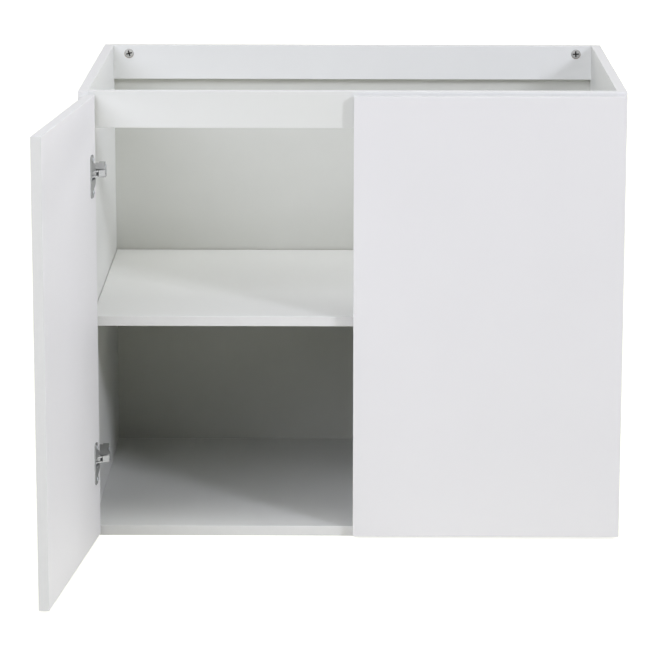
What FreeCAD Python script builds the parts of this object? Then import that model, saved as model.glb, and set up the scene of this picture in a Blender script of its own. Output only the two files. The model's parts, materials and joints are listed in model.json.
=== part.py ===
import FreeCAD, Part
import math
import os

# Kitchen base cabinet, in millimetres. +X is right, +Y is back, +Z is up.
# The origin is on the floor, under the middle of the carcass.

V = FreeCAD.Vector
UP = V(0, 0, 1)

# Carcass
carcass_width = 800.0
carcass_height = 670.0
carcass_depth = 540.0
board = 15.0
back_thickness = 3.0
back_lap = 8.0
rail_height = 54.0

# Shelf and its four supports
shelf_underside = 318.0
shelf_setback = 12.0
shelf_end_gap = 1.0
shelf_rear_gap = 2.0
support_from_front = 60.0
support_from_back = 70.0
support_pin_radius = 2.5
support_pin_depth = 9.0
support_pad_reach = 10.0
support_pad_width = 8.0

# Doors: how far they lap the side panels, and the gaps around them
door_overlay = 13.0
door_gap = 3.0
door_top_reveal = 5.0
door_bottom_reveal = 4.0
door_middle_gap = 4.0
door_open_angle = 96.0

# Hinges: height of each above or below the carcass ends
hinge_from_end = 120.0

# Hinge pins when the door is shut. Arm pins are measured from the side panel's inner face
# and the carcass front, cup pins from the door's hinge edge and its inner face.
arm_pin_side = V(22.72, 3.15, 0)
arm_pin_hook = V(6.79, 0.48, 0)
cup_pin_side = V(12.94, 3.62, 0)
cup_pin_hook = V(9.40, 7.67, 0)
hinge_pin_radius = 1.1
hinge_pin_play = 0.05

# Hinge stack, from the middle outwards: hook link, side links, arm cheeks
hook_half_height = 2.3
stack_gap = 0.3
side_link_thickness = 2.1
arm_sheet = 1.2
eye_radius = 2.1
side_link_half_width = 1.4
side_web_sheet = 0.8
side_web_share = 0.5
hook_half_width = 1.0
hook_clearance = 0.5
fork_half_gap = 1.6
fork_jaw = 0.8
fork_tip_reach = 0.9
fork_seat_play = 0.15

# Hinge cup, sunk in the door, and its flange
cup_radius = 17.5
cup_edge_distance = 5.0
cup_depth = 11.8
cup_sheet = 0.6
cup_fit = 0.1
cup_hole_extra_depth = 0.2
flange_thickness = 1.6
flange_rim = 1.1
flange_ear_margin = 7.5
flange_front_reach = 19.0
flange_corner_radius = 6.0
cup_screw_spacing = 48.0
cup_screw_offset = 6.0
cup_mouth_play = 0.6
cup_pin_grip = 1.2

# Hinge arm and mounting plate
arm_rear = 62.0
arm_neck_start = 10.0
arm_neck_end = 24.0
arm_front_stop = 0.3
arm_seat_height = 18.4
arm_rear_drop = 9.0
plate_thickness = 2.0
plate_wing_height = 50.0
plate_wing_width = 18.0
plate_hole_setback = 37.0
plate_hole_spacing = 32.0
plate_riser_front = 28.0
plate_riser_rear = 60.0
plate_riser_play = 0.2
spring_thickness = 0.8
spring_front = 2.0
spring_rear = 22.0

# Screws: head radius, head height, shank radius and length
cup_screw_head_radius = 3.5
cup_screw_head_height = 1.6
cup_screw_shank_radius = 1.75
cup_screw_length = 11.0
plate_screw_head_radius = 4.5
plate_screw_head_height = 1.8
plate_screw_shank_radius = 2.9
plate_screw_length = 12.0
arm_screw_head_radius = 3.6
arm_screw_head_height = 1.8
arm_screw_shank_radius = 2.0
arm_screw_length = 9.0
arm_screw_setback = 52.0
adjust_screw_setback = 34.0
screw_play = 0.05
cross_width = 0.9
cross_depth = 0.9
cross_length_share = 1.2

# Cam fittings, bolts, dowels and nails
cam_radius = 7.5
cam_depth = 12.0
cam_fit = 0.1
cam_from_end = 25.0
cam_from_rail_top = 13.0
cam_cross_width = 1.4
cam_cross_depth = 2.0
cam_throat_play = 0.4
bolt_thread_radius = 2.9
bolt_thread_length = 11.0
bolt_shank_radius = 2.0
bolt_head_radius = 3.0
bolt_head_length = 3.0
bolt_bore_radius = 3.6
bottom_cam_from_front = 60.0
bottom_cam_from_back = 60.0
dowel_radius = 4.0
dowel_fit = 0.05
dowel_in_side = 10.0
dowel_in_board = 20.0
dowel_end_play = 0.5
dowel_from_rail_bottom = 14.0
bottom_dowel_offset = 32.0
nail_head_radius = 2.0
nail_head_height = 0.8
nail_shank_radius = 0.7
nail_length = 15.0
nail_end_margin = 60.0
nail_count = 5

# One overrun serves every cut
overrun = 1.0

# Values worked out from the sizes above
half_width = carcass_width / 2
front = -carcass_depth / 2
rear = carcass_depth / 2
inner_half = half_width - board
back_front = rear - back_thickness
reveal = board - door_overlay
door_width = half_width - reveal - door_middle_gap / 2
door_low = door_bottom_reveal
door_high = carcass_height - door_top_reveal
hinge_heights = {"lower": hinge_from_end, "upper": carcass_height - hinge_from_end}
cup_centre = cup_edge_distance + cup_radius
cup_hole_depth = cup_depth + cup_hole_extra_depth
cup_inner_radius = cup_radius - cup_fit - cup_sheet
side_link_low = hook_half_height + stack_gap
side_link_high = side_link_low + side_link_thickness
arm_half_inner = side_link_high + stack_gap
arm_half_height = arm_half_inner + arm_sheet
mouth_half_height = arm_half_height + cup_mouth_play
arm_web_front = arm_pin_side.x + eye_radius
door_corner = V(-door_overlay, door_gap, 0)
side_pin_shut = door_corner + cup_pin_side
hook_pin_shut = door_corner + cup_pin_hook


def turned(vector, degrees):
    """The vector, turned about the hinge's vertical direction."""
    angle = math.radians(degrees)
    return V(
        vector.x * math.cos(angle) - vector.y * math.sin(angle),
        vector.x * math.sin(angle) + vector.y * math.cos(angle),
        vector.z,
    )


def heading(vector):
    """The vector's direction in degrees."""
    return math.degrees(math.atan2(vector.y, vector.x))


def side_pin_at(turn):
    """The cup's side-link pin when the side links have turned this far."""
    return arm_pin_side + turned(side_pin_shut - arm_pin_side, turn)


def hook_pin_at(turn, door_angle):
    """The cup's hook pin when the side links and the door have turned this far."""
    return side_pin_at(turn) + turned(cup_pin_hook - cup_pin_side, door_angle)


def side_link_turn_when_open():
    """Halve the search range until the hook link spans its two pins with the door open."""
    link_length = (hook_pin_shut - arm_pin_hook).Length
    low, high = -door_open_angle / 2, -door_open_angle / 6

    def error(turn):
        return (hook_pin_at(turn, door_open_angle) - arm_pin_hook).Length - link_length

    low_sign = error(low) > 0
    for _ in range(60):
        middle = (low + high) / 2
        if (error(middle) > 0) == low_sign:
            low = middle
        else:
            high = middle
    return (low + high) / 2


side_link_turn = side_link_turn_when_open()
side_pin_open = side_pin_at(side_link_turn)
hook_pin_open = hook_pin_at(side_link_turn, door_open_angle)
hook_turn = heading(hook_pin_open - arm_pin_hook) - heading(hook_pin_shut - arm_pin_hook)


def block(x, y, z):
    """A box between the given low and high values on each axis."""
    return Part.makeBox(x[1] - x[0], y[1] - y[0], z[1] - z[0], V(x[0], y[0], z[0]))


def rod(start, end, radius):
    """A round bar between two points."""
    return Part.makeCylinder(radius, (end - start).Length, start, end - start)


def upright(centre, radius, low, high):
    """A round bar along Z through a point."""
    return rod(V(centre.x, centre.y, low), V(centre.x, centre.y, high), radius)


def slab(points, low, high):
    """A flat outline raised between two heights."""
    outline = [V(point.x, point.y, low) for point in points]
    face = Part.Face(Part.makePolygon(outline + outline[:1]))
    return face.extrude(V(0, 0, high - low))


def strip(start, end, half_thickness, low, high):
    """A straight flat bar between two points in plan."""
    along = (end - start).normalize()
    across = turned(along, 90) * half_thickness
    return slab([start + across, end + across, end - across, start - across], low, high)


def union(shapes):
    """All shapes joined into one solid."""
    return shapes[0].fuse(shapes[1:]).removeSplitter()


def screw(seat, inward, head_radius, head_height, shank_radius, length):
    """A cross-head screw: its head stands on the seat, its shank goes inward from it."""
    top = seat - inward * head_height
    head = rod(top, seat, head_radius)
    shank = rod(seat, seat + inward * length, shank_radius)
    return union([head, shank]).cut(cross_recess(top, inward, head_radius * cross_length_share,
                                                cross_width, cross_depth))


def cross_recess(face_centre, inward, length, width, depth):
    """Two crossed slots, cut inward from the middle of a round face."""
    sideways = V(inward.y, inward.z, inward.x)
    third = inward.cross(sideways)
    arms = []
    for along, across in ((sideways, third), (third, sideways)):
        corner = along * (length / 2) + across * (width / 2) + inward * overrun
        corner = face_centre - corner
        outline = [corner, corner + along * length, corner + along * length + across * width,
                   corner + across * width]
        face = Part.Face(Part.makePolygon(outline + outline[:1]))
        arms.append(face.extrude(inward * (depth + overrun)))
    return union(arms)


# Hinge pieces are drawn in plan: X from the side panel's inner face into the cabinet,
# Y forwards from the carcass front, Z from the hinge's middle.


def pose_door(shape, is_open):
    """Swing a piece of the door from shut to open."""
    posed = shape.copy()
    if is_open:
        posed.rotate(side_pin_shut, UP, door_open_angle)
        posed.translate(side_pin_open - side_pin_shut)
    return posed


def door_point(along, deep):
    """A point of the open door, from its hinge edge and its inner face."""
    return side_pin_open + turned(V(along, deep, 0) - cup_pin_side, door_open_angle)


def place(shape, side, height):
    """Put a hinge piece on the left or right side panel."""
    if side == "left":
        placed = shape.mirror(V(0, 0, 0), V(0, 1, 0))
        placed.translate(V(-inner_half, front, height))
    else:
        placed = shape.copy()
        placed.rotate(V(0, 0, 0), UP, 180)
        placed.translate(V(inner_half, front, height))
    return placed


def pin_bores(points, low, high):
    """Running bores for hinge pins."""
    return [upright(point, hinge_pin_radius + hinge_pin_play, low, high) for point in points]


def make_hinge_cup():
    """Round pan with a flange on the door's inner face and a mouth for the links."""
    middle = door_corner + V(cup_centre, 0, 0)
    deep = V(0, cup_depth, 0)
    lip = V(0, -flange_thickness, 0)
    pan = rod(middle, middle + deep, cup_radius - cup_fit)
    rim = rod(middle + lip, middle, cup_radius + flange_rim)
    ear_height = cup_screw_spacing / 2 + flange_ear_margin
    ears = block((middle.x + cup_screw_offset - flange_ear_margin, middle.x + flange_front_reach),
                 (middle.y - flange_thickness, middle.y), (-ear_height, ear_height))
    corners = [edge for edge in ears.Edges if edge.BoundBox.YLength > flange_thickness / 2]
    ears = ears.makeFillet(flange_corner_radius, corners)
    hollow = rod(middle + lip - V(0, overrun, 0), middle + deep - V(0, cup_sheet, 0), cup_inner_radius)
    room = block((middle.x - cup_radius, middle.x + cup_radius),
                 (middle.y - flange_thickness - overrun, middle.y + cup_depth),
                 (-mouth_half_height, mouth_half_height))
    notch = block((middle.x - cup_radius - flange_rim - overrun, middle.x),
                  (middle.y - flange_thickness - overrun, middle.y),
                  (-mouth_half_height, mouth_half_height))
    cup = union([pan, rim, ears]).cut([hollow.common(room), notch])
    holes = pin_bores([side_pin_shut, hook_pin_shut], -cup_pin_reach(), cup_pin_reach())
    holes += [rod(seat - V(0, overrun, 0), seat + V(0, flange_thickness + overrun, 0),
                  cup_screw_shank_radius + screw_play) for seat in cup_screw_seats()]
    return cup.cut(holes)


def cup_screw_seats():
    """Where the two cup screws' heads stand on the flange."""
    along = door_corner.x + cup_centre + cup_screw_offset
    level = door_corner.y - flange_thickness
    return [V(along, level, sign * cup_screw_spacing / 2) for sign in (-1, 1)]


def cup_pin_reach():
    """Cup pins end in the pan's walls, past the mouth."""
    return mouth_half_height + cup_pin_grip


def make_cup_pins():
    """Two stub pins for the side links and one through pin for the hook link."""
    reach = cup_pin_reach()
    return [
        upright(side_pin_shut, hinge_pin_radius, side_link_low, reach),
        upright(side_pin_shut, hinge_pin_radius, -reach, -side_link_low),
        upright(hook_pin_shut, hinge_pin_radius, -reach, reach),
    ]


def make_cup_screws():
    """The screws that hold the cup's flange to the door."""
    return [screw(seat, V(0, 1, 0), cup_screw_head_radius, cup_screw_head_height,
                  cup_screw_shank_radius, cup_screw_length) for seat in cup_screw_seats()]


def make_side_links(is_open):
    """Two flat links, above and below the hook link, joined by a web along their front."""
    along = (side_pin_shut - arm_pin_side).normalize()
    forward = turned(along, -90) * (eye_radius - side_web_sheet / 2)
    web_end = arm_pin_side + (side_pin_shut - arm_pin_side) * side_web_share
    pieces = [strip(arm_pin_side + forward, web_end + forward, side_web_sheet / 2, -side_link_high,
                    side_link_high)]
    for low, high in ((side_link_low, side_link_high), (-side_link_high, -side_link_low)):
        pieces.append(strip(arm_pin_side, side_pin_shut, side_link_half_width, low, high))
        pieces += [upright(point, eye_radius, low, high) for point in (arm_pin_side, side_pin_shut)]
    link = union(pieces).cut(pin_bores([arm_pin_side, side_pin_shut], -side_link_high - overrun,
                                       side_link_high + overrun))
    if is_open:
        link.rotate(arm_pin_side, UP, side_link_turn)
    return link


def make_hook_link(is_open):
    """The middle link, which hooks round the door's edge into the cup. Its fork embraces
    the cup's hook pin."""
    low, high = -hook_half_height, hook_half_height
    along = turned(V(1, 0, 0), door_open_angle)
    outward = turned(V(0, -1, 0), door_open_angle)
    clear = hook_half_width + hook_clearance
    edge = door_point(0, 0)
    wall = door_point(cup_centre - cup_inner_radius, 0)
    bend = (along + outward).normalize() * clear
    route = [arm_pin_hook, edge + (outward - along) * clear, wall + outward * clear, wall + bend,
             wall + along * clear, hook_pin_open]
    bars = [strip(start, end, hook_half_width, low, high) for start, end in zip(route, route[1:])]
    knees = [upright(point, hook_half_width, low, high) for point in route[1:-1]]
    eye = upright(arm_pin_hook, eye_radius, low, high)
    point = (route[-1] - route[-2]).normalize()
    heel = hook_pin_open - point * (hinge_pin_radius + fork_seat_play + fork_jaw)
    fork = strip(heel, hook_pin_open + point * fork_tip_reach, fork_half_gap + fork_jaw, low, high)
    seat = hook_pin_open + point * (fork_half_gap - hinge_pin_radius - fork_seat_play)
    gap = [upright(seat, fork_half_gap, low - overrun, high + overrun),
           strip(seat, seat + point * (fork_tip_reach + fork_half_gap), fork_half_gap,
                 low - overrun, high + overrun)]
    link = union(bars + knees + [eye, fork])
    link = link.cut(gap + pin_bores([arm_pin_hook], low - overrun, high + overrun))
    if not is_open:
        link.rotate(arm_pin_hook, UP, -hook_turn)
    return link


def make_arm():
    """Pressed channel: two cheeks that hold the arm pins, and a web that sits on the plate."""
    web_rear = arm_seat_height + arm_sheet
    outline = [
        V(arm_pin_hook.x, arm_pin_hook.y + eye_radius, 0),
        V(arm_pin_side.x, arm_pin_side.y + eye_radius, 0),
        V(arm_web_front, arm_pin_side.y, 0),
        V(arm_web_front, -arm_neck_start, 0),
        V(web_rear, -arm_neck_end, 0),
        V(web_rear, -arm_rear, 0),
        V(web_rear - arm_rear_drop, -arm_rear, 0),
        V(web_rear - arm_rear_drop, -arm_neck_end, 0),
        V(arm_pin_hook.x - eye_radius, -arm_neck_start, 0),
        V(arm_pin_hook.x - eye_radius, arm_pin_hook.y, 0),
    ]
    pieces = []
    for low, high in ((arm_half_inner, arm_half_height), (-arm_half_height, -arm_half_inner)):
        pieces.append(slab(outline, low, high))
        pieces += [upright(pin, eye_radius, low, high) for pin in (arm_pin_side, arm_pin_hook)]
    web = [
        V(arm_web_front, -arm_front_stop, 0),
        V(arm_web_front, -arm_neck_start, 0),
        V(web_rear, -arm_neck_end, 0),
        V(web_rear, -arm_rear, 0),
        V(arm_seat_height, -arm_rear, 0),
        V(arm_seat_height, -arm_neck_end, 0),
        V(arm_web_front - arm_sheet, -arm_neck_start, 0),
        V(arm_web_front - arm_sheet, -arm_front_stop, 0),
    ]
    pieces.append(slab(web, -arm_half_height, arm_half_height))
    holes = pin_bores([arm_pin_side, arm_pin_hook], -arm_half_height - overrun,
                      arm_half_height + overrun)
    holes += [arm_screw_bore(setback) for setback in (arm_screw_setback, adjust_screw_setback)]
    return union(pieces).cut(holes)


def arm_screw_bore(setback):
    """The hole through web and riser for one of the arm's two screws."""
    web_top = V(arm_seat_height + arm_sheet, -setback, 0)
    return rod(web_top + V(overrun, 0, 0), web_top - V(arm_screw_length + overrun, 0, 0),
               arm_screw_shank_radius + screw_play)


def make_arm_pins():
    """The two pins riveted through the arm's cheeks."""
    return [upright(pin, hinge_pin_radius, -arm_half_height, arm_half_height)
            for pin in (arm_pin_side, arm_pin_hook)]


def make_arm_screw(setback):
    """A screw through the arm's web into the plate's riser."""
    return screw(V(arm_seat_height + arm_sheet, -setback, 0), V(-1, 0, 0), arm_screw_head_radius,
                 arm_screw_head_height, arm_screw_shank_radius, arm_screw_length)


def make_spring():
    """Leaf spring inside the arm, flat against the web's front stretch and bent with it."""
    under_front = arm_web_front - arm_sheet
    under_rear = arm_seat_height
    rear_share = (spring_rear - arm_neck_start) / (arm_neck_end - arm_neck_start)
    rear_level = under_front + (under_rear - under_front) * rear_share
    outline = [
        V(under_front, -spring_front, 0),
        V(under_front, -arm_neck_start, 0),
        V(rear_level, -spring_rear, 0),
        V(rear_level - spring_thickness, -spring_rear, 0),
        V(under_front - spring_thickness, -arm_neck_start, 0),
        V(under_front - spring_thickness, -spring_front, 0),
    ]
    return slab(outline, -hook_half_height, hook_half_height)


def plate_screw_seats():
    """Where the plate screws' heads stand on the wings."""
    return [V(plate_thickness, -plate_hole_setback, sign * plate_hole_spacing / 2)
            for sign in (-1, 1)]


def make_plate():
    """Mounting plate: two wings screwed to the side panel and a riser that carries the arm."""
    wing_half = (plate_wing_height - plate_wing_width) / 2
    wing = block((0, plate_thickness),
                 (-plate_hole_setback - plate_wing_width / 2, -plate_hole_setback + plate_wing_width / 2),
                 (-wing_half, wing_half))
    ends = [rod(V(0, -plate_hole_setback, sign * wing_half),
                V(plate_thickness, -plate_hole_setback, sign * wing_half), plate_wing_width / 2)
            for sign in (-1, 1)]
    riser_half = arm_half_inner - plate_riser_play
    riser = block((0, arm_seat_height), (-plate_riser_rear, -plate_riser_front),
                  (-riser_half, riser_half))
    holes = [rod(seat + V(overrun, 0, 0), seat - V(plate_thickness + overrun, 0, 0),
                 plate_screw_shank_radius + screw_play) for seat in plate_screw_seats()]
    holes += [arm_screw_bore(setback) for setback in (arm_screw_setback, adjust_screw_setback)]
    return union([wing, riser] + ends).cut(holes)


def make_plate_screws():
    """The screws that hold the plate to the side panel."""
    return [screw(seat, V(-1, 0, 0), plate_screw_head_radius, plate_screw_head_height,
                  plate_screw_shank_radius, plate_screw_length) for seat in plate_screw_seats()]


# Boards and the fittings between them


def connectors():
    """Each board end's cam bolts: the bolt's place in plan and the way its cam faces."""
    rail_level = carcass_height - cam_from_rail_top
    return {
        "front_rail": [(front + board / 2, rail_level, V(0, 1, 0))],
        "rear_rail": [(back_front - board / 2, rail_level, V(0, -1, 0))],
        "bottom_panel": [(front + bottom_cam_from_front, board / 2, V(0, 0, -1)),
                         (rear - bottom_cam_from_back, board / 2, V(0, 0, -1))],
    }


def dowel_places():
    """Each board end's dowels, in the same plane as its bolts."""
    rail_level = carcass_height - rail_height + dowel_from_rail_bottom
    return {
        "front_rail": [(front + board / 2, rail_level)],
        "rear_rail": [(back_front - board / 2, rail_level)],
        "bottom_panel": [(front + bottom_cam_from_front + bottom_dowel_offset, board / 2),
                         (rear - bottom_cam_from_back - bottom_dowel_offset, board / 2)],
    }


def all_places(table):
    """The places of every board in one list."""
    return [spot for spots in table.values() for spot in spots]


def end_point(side, inward, y, z):
    """A point on a board end, or inward of it, at the left (-1) or right (+1)."""
    return V(side * (inner_half - inward), y, z)


def cam_face(side, y, z, facing):
    """The middle of a cam's visible face."""
    return end_point(side, cam_from_end, y, z) + facing * (board / 2)


def make_cam(side, y, z, facing):
    """Round cam with a cross recess, and a throat for the bolt's head."""
    face = cam_face(side, y, z, facing)
    body = rod(face, face - facing * cam_depth, cam_radius - cam_fit)
    throat = rod(end_point(side, cam_from_end + bolt_head_length, y, z), end_point(side, 0, y, z),
                 bolt_head_radius + cam_throat_play)
    recess = cross_recess(face, -facing, cam_radius, cam_cross_width, cam_cross_depth)
    return body.cut([throat, recess])


def make_cam_bolt(side, y, z):
    """Bolt screwed into the side panel, with its head held in the cam."""
    thread = rod(end_point(side, -bolt_thread_length, y, z), end_point(side, 0, y, z),
                 bolt_thread_radius)
    shank = rod(end_point(side, 0, y, z), end_point(side, cam_from_end, y, z), bolt_shank_radius)
    head = rod(end_point(side, cam_from_end - bolt_head_length, y, z),
               end_point(side, cam_from_end, y, z), bolt_head_radius)
    return union([thread, shank, head])


def make_dowel(side, y, z):
    """Wooden dowel, part in the side panel and part in the board's end."""
    return rod(end_point(side, -dowel_in_side, y, z), end_point(side, dowel_in_board, y, z),
               dowel_radius)


def board_bores(name):
    """What is bored out of a board's two ends: cam pockets, bolt bores and dowel bores."""
    bores = []
    for side in (-1, 1):
        for y, z, facing in connectors()[name]:
            face = cam_face(side, y, z, facing)
            bores.append(rod(face + facing * overrun, face - facing * cam_depth, cam_radius))
            bores.append(rod(end_point(side, -overrun, y, z), end_point(side, cam_from_end, y, z),
                             bolt_bore_radius))
        for y, z in dowel_places()[name]:
            bores.append(rod(end_point(side, -overrun, y, z),
                             end_point(side, dowel_in_board + dowel_end_play, y, z),
                             dowel_radius + dowel_fit))
    return bores


def spread(low, high):
    """Evenly spaced nail places between two edges."""
    step = (high - low - 2 * nail_end_margin) / (nail_count - 1)
    return [low + nail_end_margin + step * index for index in range(nail_count)]


def nail_places():
    """Nails along both sides, the bottom panel and the rear rail, as X and Z."""
    edge = inner_half + back_lap / 2
    places = [(side * edge, z) for side in (-1, 1) for z in spread(0, carcass_height)]
    for z in (board / 2, carcass_height - rail_height / 2):
        places += [(x, z) for x in spread(-inner_half, inner_half)]
    return places


def make_nail(x, z):
    """Flat-headed nail, driven flush with the back panel."""
    head = rod(V(x, rear, z), V(x, rear - nail_head_height, z), nail_head_radius)
    shank = rod(V(x, rear, z), V(x, rear - nail_length, z), nail_shank_radius)
    return union([head, shank])


def support_places():
    """Where the four shelf supports stand along the sides."""
    return [front + support_from_front, rear - support_from_back]


def support_level():
    """The height of the supports' pins, under the shelf."""
    return shelf_underside - support_pin_radius


def make_support(side, y):
    """Shelf support: a pin in the side panel and a flat-topped pad under the shelf."""
    level = support_level()
    pin = rod(end_point(side, -support_pin_depth, y, level), end_point(side, 0, y, level),
              support_pin_radius)
    ends = sorted((end_point(side, 0, y, level).x, end_point(side, support_pad_reach, y, level).x))
    pad = block(ends, (y - support_pad_width / 2, y + support_pad_width / 2),
                (shelf_underside - 2 * support_pin_radius, shelf_underside))
    return union([pin, pad])


def make_side_panel(side_name):
    """Side board, rebated for the back panel and bored for every fitting that enters it."""
    side = -1 if side_name == "left" else 1
    x = sorted((side * half_width, side * inner_half))
    panel = block(x, (front, rear), (0, carcass_height))
    rebate_x = sorted((side * (inner_half - overrun), side * (inner_half + back_lap)))
    cuts = [block(rebate_x, (back_front, rear + overrun), (-overrun, carcass_height + overrun))]
    for y, z, _ in all_places(connectors()):
        cuts.append(rod(end_point(side, overrun, y, z), end_point(side, -bolt_thread_length, y, z),
                        bolt_thread_radius + screw_play))
    for y, z in all_places(dowel_places()):
        cuts.append(rod(end_point(side, overrun, y, z),
                        end_point(side, -dowel_in_side - dowel_end_play, y, z),
                        dowel_radius + dowel_fit))
    for y in support_places():
        cuts.append(rod(end_point(side, overrun, y, support_level()),
                        end_point(side, -support_pin_depth, y, support_level()),
                        support_pin_radius + screw_play))
    for height in hinge_heights.values():
        for seat in plate_screw_seats():
            hole = rod(V(overrun, seat.y, seat.z), seat - V(plate_screw_length, 0, 0),
                       plate_screw_shank_radius + screw_play)
            cuts.append(place(hole, side_name, height))
    cuts += nail_bores(lambda nail_x, _: nail_x * side > inner_half)
    return panel.cut(cuts)


def nail_bores(wanted):
    """Bores for the nails that a board takes."""
    return [rod(V(x, rear + overrun, z), V(x, rear - nail_length, z), nail_shank_radius + screw_play)
            for x, z in nail_places() if wanted(x, z)]


def make_rail(name, y):
    """Upright rail across the top, at the front or the rear."""
    rail = block((-inner_half, inner_half), y, (carcass_height - rail_height, carcass_height))
    cuts = board_bores(name)
    if name == "rear_rail":
        cuts += nail_bores(lambda x, z: abs(x) < inner_half and z > rail_height)
    return rail.cut(cuts)


def make_bottom_panel():
    """Bottom board between the sides."""
    panel = block((-inner_half, inner_half), (front, back_front), (0, board))
    return panel.cut(board_bores("bottom_panel") + nail_bores(lambda x, z: abs(x) < inner_half
                                                              and z < board))


def make_back_panel():
    """Thin back panel, laid in the sides' rebates and nailed."""
    lap = inner_half + back_lap
    panel = block((-lap, lap), (back_front, rear), (0, carcass_height))
    cuts = nail_bores(lambda x, z: True)
    cuts += [rod(V(x, rear + overrun, z), V(x, rear - nail_head_height, z),
                 nail_head_radius + screw_play) for x, z in nail_places()]
    return panel.cut(cuts)


def make_shelf():
    """Loose shelf on its four supports."""
    reach = inner_half - shelf_end_gap
    return block((-reach, reach), (front + shelf_setback, back_front - shelf_rear_gap),
                 (shelf_underside, shelf_underside + board))


def make_door(side, is_open):
    """Plain door, bored for its two hinge cups and their screws."""
    panel = block((door_corner.x, door_corner.x + door_width), (door_gap, door_gap + board),
                  (door_low, door_high))
    cuts = []
    for height in hinge_heights.values():
        lift = V(0, 0, height)
        middle = door_corner + V(cup_centre, 0, 0) + lift
        cuts.append(rod(middle - V(0, overrun, 0), middle + V(0, cup_hole_depth, 0), cup_radius))
        for seat in cup_screw_seats():
            cuts.append(rod(seat + lift, seat + lift + V(0, cup_screw_length, 0),
                            cup_screw_shank_radius + screw_play))
    return place(pose_door(panel.cut(cuts), is_open), side, 0)


def save(name, shape):
    """Write one node."""
    shape.exportStep(os.path.join("parts", name + ".step"))


os.makedirs("parts", exist_ok=True)

# Boards
for side_name in ("left", "right"):
    save("side_panel_" + side_name, make_side_panel(side_name))
save("bottom_panel", make_bottom_panel())
save("front_rail", make_rail("front_rail", (front, front + board)))
save("rear_rail", make_rail("rear_rail", (back_front - board, back_front)))
save("back_panel", make_back_panel())
save("shelf", make_shelf())

# The left door stands open and the right door is shut
arm_pins = []
plate_screws = []
arm_screws = []
adjust_screws = []
for side_name, is_open in (("left", True), ("right", False)):
    save("door_" + side_name, make_door(side_name, is_open))
    cup_pins = []
    cup_screws = []
    for level_name, height in hinge_heights.items():
        tag = side_name + "_" + level_name
        save("hinge_cup_" + tag, place(pose_door(make_hinge_cup(), is_open), side_name, height))
        save("hinge_side_links_" + tag, place(make_side_links(is_open), side_name, height))
        save("hinge_hook_link_" + tag, place(make_hook_link(is_open), side_name, height))
        save("hinge_arm_" + tag, place(make_arm(), side_name, height))
        save("hinge_plate_" + tag, place(make_plate(), side_name, height))
        save("hinge_spring_" + tag, place(make_spring(), side_name, height))
        cup_pins += [place(pose_door(pin, is_open), side_name, height) for pin in make_cup_pins()]
        cup_screws += [place(pose_door(item, is_open), side_name, height)
                       for item in make_cup_screws()]
        arm_pins += [place(pin, side_name, height) for pin in make_arm_pins()]
        plate_screws += [place(item, side_name, height) for item in make_plate_screws()]
        arm_screws.append(place(make_arm_screw(arm_screw_setback), side_name, height))
        adjust_screws.append(place(make_arm_screw(adjust_screw_setback), side_name, height))
    save("cup_pins_" + side_name, Part.makeCompound(cup_pins))
    save("cup_screws_" + side_name, Part.makeCompound(cup_screws))
save("arm_pins", Part.makeCompound(arm_pins))
save("plate_screws", Part.makeCompound(plate_screws))
save("arm_fixing_screws", Part.makeCompound(arm_screws))
save("arm_adjusting_screws", Part.makeCompound(adjust_screws))

# Fittings that hold the boards together
both_sides = (-1, 1)
save("cam_fittings", Part.makeCompound(
    [make_cam(side, *spot) for side in both_sides for spot in all_places(connectors())]))
save("cam_bolts", Part.makeCompound(
    [make_cam_bolt(side, y, z) for side in both_sides for y, z, _ in all_places(connectors())]))
save("dowels", Part.makeCompound(
    [make_dowel(side, *spot) for side in both_sides for spot in all_places(dowel_places())]))
save("back_nails", Part.makeCompound([make_nail(x, z) for x, z in nail_places()]))
save("shelf_supports", Part.makeCompound(
    [make_support(side, y) for side in both_sides for y in support_places()]))

print("side links turn", round(side_link_turn, 4), "hook link turns", round(hook_turn, 4))
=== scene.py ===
import json
import math

import bmesh
import bpy
from mathutils import Matrix, Vector

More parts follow.
